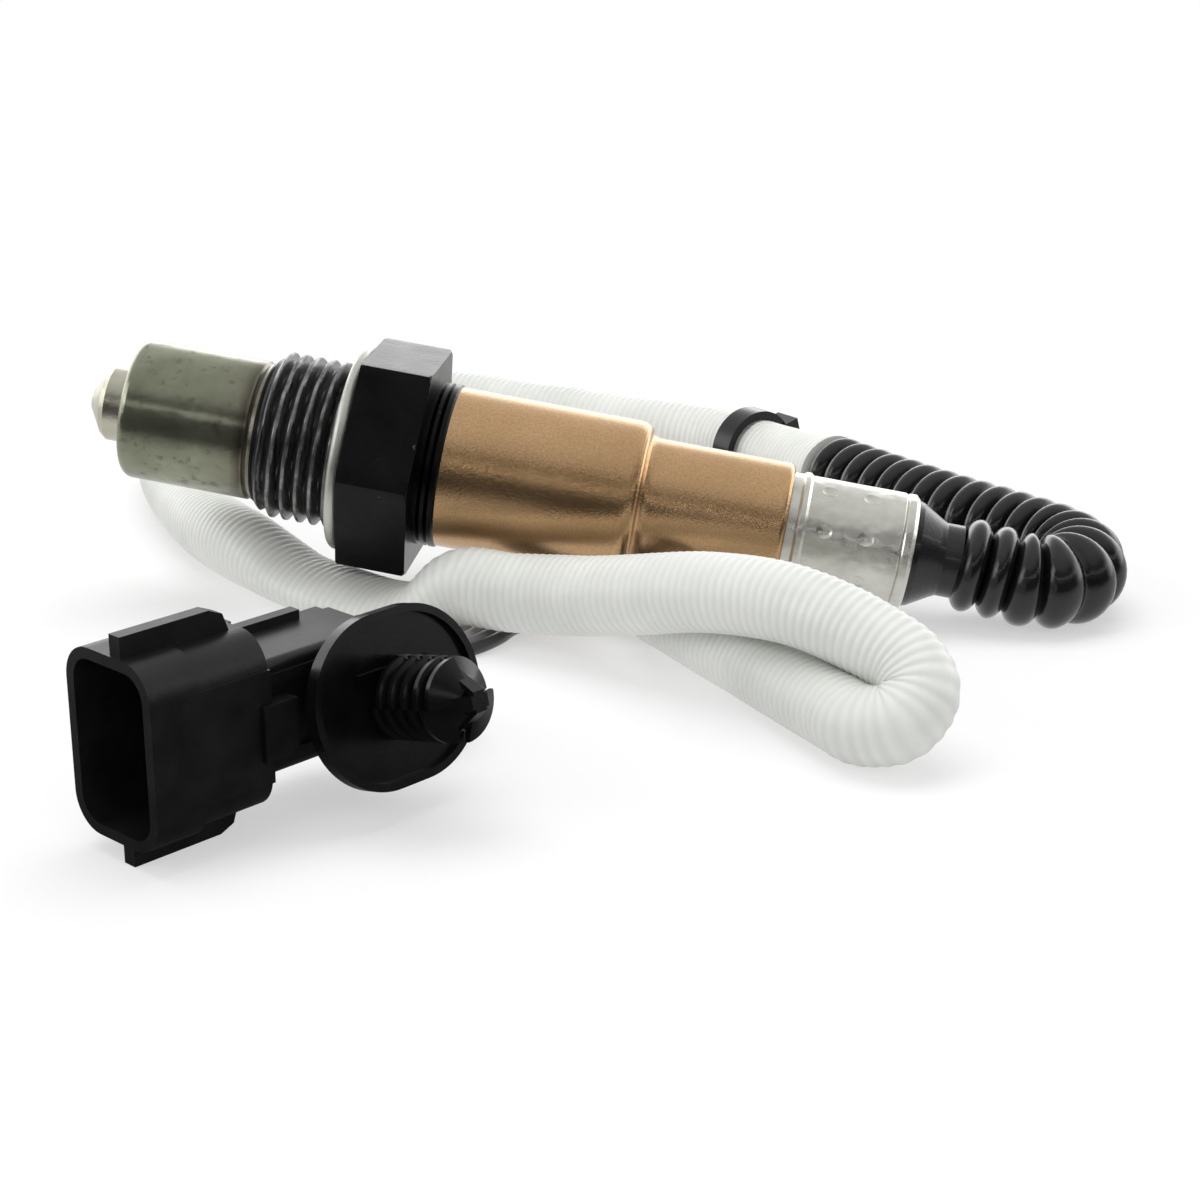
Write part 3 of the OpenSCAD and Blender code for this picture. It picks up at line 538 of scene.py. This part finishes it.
def shell_rows():
    """Station, radius and kind of each ring of the shell, from front to rear."""
    rows = [(-11.4, 3.2, ""), (-11.4, NECK_R, ""), (NECK_X, NECK_R, ""), (NECK_X, 8.0, "")]
    rows += [(THREAD_START + THREAD_LENGTH * i / THREAD_ROWS, CREST_R, "thread")
             for i in range(THREAD_ROWS + 1)]
    rows += [(0, SEAT_R, ""), (HEX_START, SEAT_R, "")]
    rows += [(HEX_START, 12.55, "hex"), (1.6, HEX_CORNER_R, "hex"), (8.6, HEX_CORNER_R, "hex")]
    rows += [(8.6 + 0.1 * i, HEX_CORNER_R - 0.15 * i, "hex") for i in range(1, 4)]
    rows += [(x, r, "") for x, r in (
        (HEX_END, COLLAR_R), (9.4, COLLAR_R), (9.6, GROOVE_FLOOR_R), (9.8, COLLAR_R), (10.2, COLLAR_R),
        (10.4, GROOVE_FLOOR_R), (10.6, COLLAR_R), (11.1, COLLAR_R), (11.3, 8.62), (11.3, 8.1),
        (11.6, 8.05), (11.6, 4.6))]
    return rows


def hex_radius(a, r):
    """Angle 0 points down, where the hexagon has a flat."""
    b = (a + math.radians(30)) % math.radians(60) - math.radians(30)
    return min(r, HEX_FLAT_R / math.cos(b))


def thread_radius(a, x):
    """A helix with flat crests and roots that runs in at the front."""
    phase = (x / PITCH + a / (2 * math.pi)) % 1.0
    ridge = min(1.0, max(0.0, 1.25 - 2.5 * abs(phase - 0.5)))
    run_in = min(1.0, max(0.0, x - NECK_X))
    crest = LEAD_IN_R + (CREST_R - LEAD_IN_R) * run_in
    return max(ROOT_R, crest - THREAD_DEPTH * (1 - ridge))


def make_shell():
    rows = shell_rows()
    verts, faces, crest, thread = [], [], [], []
    for x, r, kind in rows:
        for j in range(SHELL_STEPS):
            a = 2 * math.pi * j / SHELL_STEPS
            rr = {"hex": hex_radius(a, r), "thread": thread_radius(a, x)}.get(kind, r)
            verts.append(SENSOR @ (Vector((x, rr * math.sin(a), -rr * math.cos(a))) * MM))
            thread.append(1.0 if kind == "thread" or x <= 0 else 0.0)
            # The crest mask, where shell_steel paints a highlight on the thread's crests.
            crest.append(1.0 if kind == "thread" and rr > 8.8 else 0.0)
    for i in range(0, (len(rows) - 1) * SHELL_STEPS, SHELL_STEPS):
        for j in range(SHELL_STEPS):
            k = (j + 1) % SHELL_STEPS
            faces.append((i + j, i + SHELL_STEPS + j, i + SHELL_STEPS + k, i + k))
    obj = new_mesh("shell", verts, faces, None, sharp=28, attrs={"crest": crest, "thread": thread})
    paint(obj, shell_steel())
    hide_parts("hex_shell")


make_shell()

# Finishes of the CAD pieces
FINISH = {
    "nose_tube": "steel_nose", "outer_probe_tube": "steel_olive", "sealing_ring": "gasket",
    "sensing_element": "ceramic", "front_ceramic": "ceramic", "talc_packing": "talc",
    "rear_ceramic": "ceramic", "press_ring": "steel_bright", "contact_holder": "ceramic",
    "contact_springs": "contact", "holder_spring_ring": "steel_bright", "wire_barrels": "contact",
    "copper_sleeve": "copper", "rubber_grommet": "grommet", "lead_wires": "wire_white",
    "crimp_collar": "pressed", "rubber_boot": "boot", "cable_tie": "clip",
    "connector_housing": "plastic", "terminal_pins": "tin", "secondary_lock": "plastic",
    "wire_seal": "seal", "rear_cover": "plastic", "panel_clip": "clip",
}
for node, key in FINISH.items():
    for slot_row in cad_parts[node].material_slots:
        slot_row.material = MATS[key]

# Stage and light
HALF_FLOOR = 1.2
floor_mesh = bpy.data.meshes.new("floor")
floor_mesh.from_pydata([(x * HALF_FLOOR, y * HALF_FLOOR, GROUND * MM)
                        for x, y in ((-1, -1), (1, -1), (1, 1), (-1, 1))], [], [(0, 1, 2, 3)])
floor = bpy.data.objects.new("floor", floor_mesh)
bpy.context.scene.collection.objects.link(floor)


def floor_white():
    """Matt and shadowed near the part, with half of it glowing plain white there so that its shadow is
    painted half as deep, and fading to plain white away from it; glossy rays see only the glow, a painted
    reflection dark towards the camera and bright under and behind the part.
    """
    n = Nodes.material("floor_white")
    reach = n.tree.nodes.new("ShaderNodeVectorMath")
    reach.operation = "DISTANCE"
    n.put(reach.inputs[0], n.coord)
    reach.inputs[1].default_value = (0.03, 0.0, GROUND * MM)
    glossy = n.add("LightPath").outputs["Is Glossy Ray"]
    plan = n.add("SeparateXYZ", Vector=n.coord)
    depth = n.math("MULTIPLY", n.math("ADD", plan.outputs["Y"], 0.06), 25.0, clamp=True)
    # Painted reflection: to glossy rays the floor glows, dark towards the camera and bright under and
    # behind the part.
    mirrored = n.ramp(depth, [(0.0, 0.06), (1.0, 0.9)])
    seen = n.add("Emission", Color=n.mix(glossy, (1, 1, 1), mirrored))
    matt = n.add("BsdfDiffuse", Color=(0.85, 0.85, 0.85, 1))
    fade = n.math("MULTIPLY", n.math("SUBTRACT", reach.outputs["Value"], 0.07), 7.0, clamp=True)
    # Near the part half of the floor glows plain white, which paints away half of its shadow.
    share = n.math("MAXIMUM", n.math("MULTIPLY_ADD", fade, 0.5, 0.5), glossy)
    blend = n.tree.nodes.new("ShaderNodeMixShader")
    for socket, value in zip(blend.inputs, (share, matt.outputs[0], seen.outputs[0])):
        n.put(socket, value)
    n.put(n.tree.nodes["Material Output"].inputs["Surface"], blend.outputs[0])
    return n.owner


floor_mesh.materials.append(floor_white())


def area(name, place, aim, size, power, gloss):
    data = bpy.data.lights.new(name, "AREA")
    data.shape = "RECTANGLE"
    data.size, data.size_y = size
    data.energy = power
    obj = bpy.data.objects.new(name, data)
    obj.location = place
    obj.rotation_euler = (Vector(aim) - Vector(place)).to_track_quat("-Z", "Y").to_euler()
    obj.visible_glossy = gloss
    bpy.context.scene.collection.objects.link(obj)


centre = (0.03, 0, 0)
area("top", (0.0, 0.08, 0.55), centre, (0.6, 0.35), 2.2, False)
area("left", (-0.55, -0.25, 0.3), centre, (0.3, 0.4), 0.9, True)
area("front", (0.25, -0.6, 0.35), centre, (0.5, 0.3), 0.7, False)

world = bpy.data.worlds.new("world")
bpy.context.scene.world = world
sky = Nodes(world)
direction = sky.add("SeparateXYZ", Vector=sky.add("TexCoord").outputs["Generated"])
half_up = sky.math("MULTIPLY_ADD", direction.outputs["Z"], 0.5, 0.5)
# What metal and gloss see: a bright screen behind the part, a dark room with one thin lamp in front
in_front = sky.ramp(half_up, [(0.0, 0.6), (0.48, 0.07), (0.688, 0.08), (0.7, 4.5), (0.712, 0.08),
                              (0.78, 0.1), (0.87, 0.6), (1.0, 0.85)])
behind = sky.ramp(half_up, [(0.0, 0.6), (0.5, 1.2), (0.54, 3.0), (0.66, 3.0), (0.76, 1.1),
                            (1.0, 0.85)])
side = sky.math("MULTIPLY_ADD", direction.outputs["Y"], 2.0, 0.5, clamp=True)
rays = sky.add("LightPath").outputs
lit = sky.mix(rays["Is Glossy Ray"], (0.6, 0.6, 0.6), sky.mix(side, in_front, behind))
background = sky.tree.nodes["Background"]
sky.put(background.inputs["Color"], sky.mix(rays["Is Camera Ray"], lit, (1, 1, 1)))
background.inputs["Strength"].default_value = 1.0
bpy.context.scene.view_settings.view_transform = "Standard"
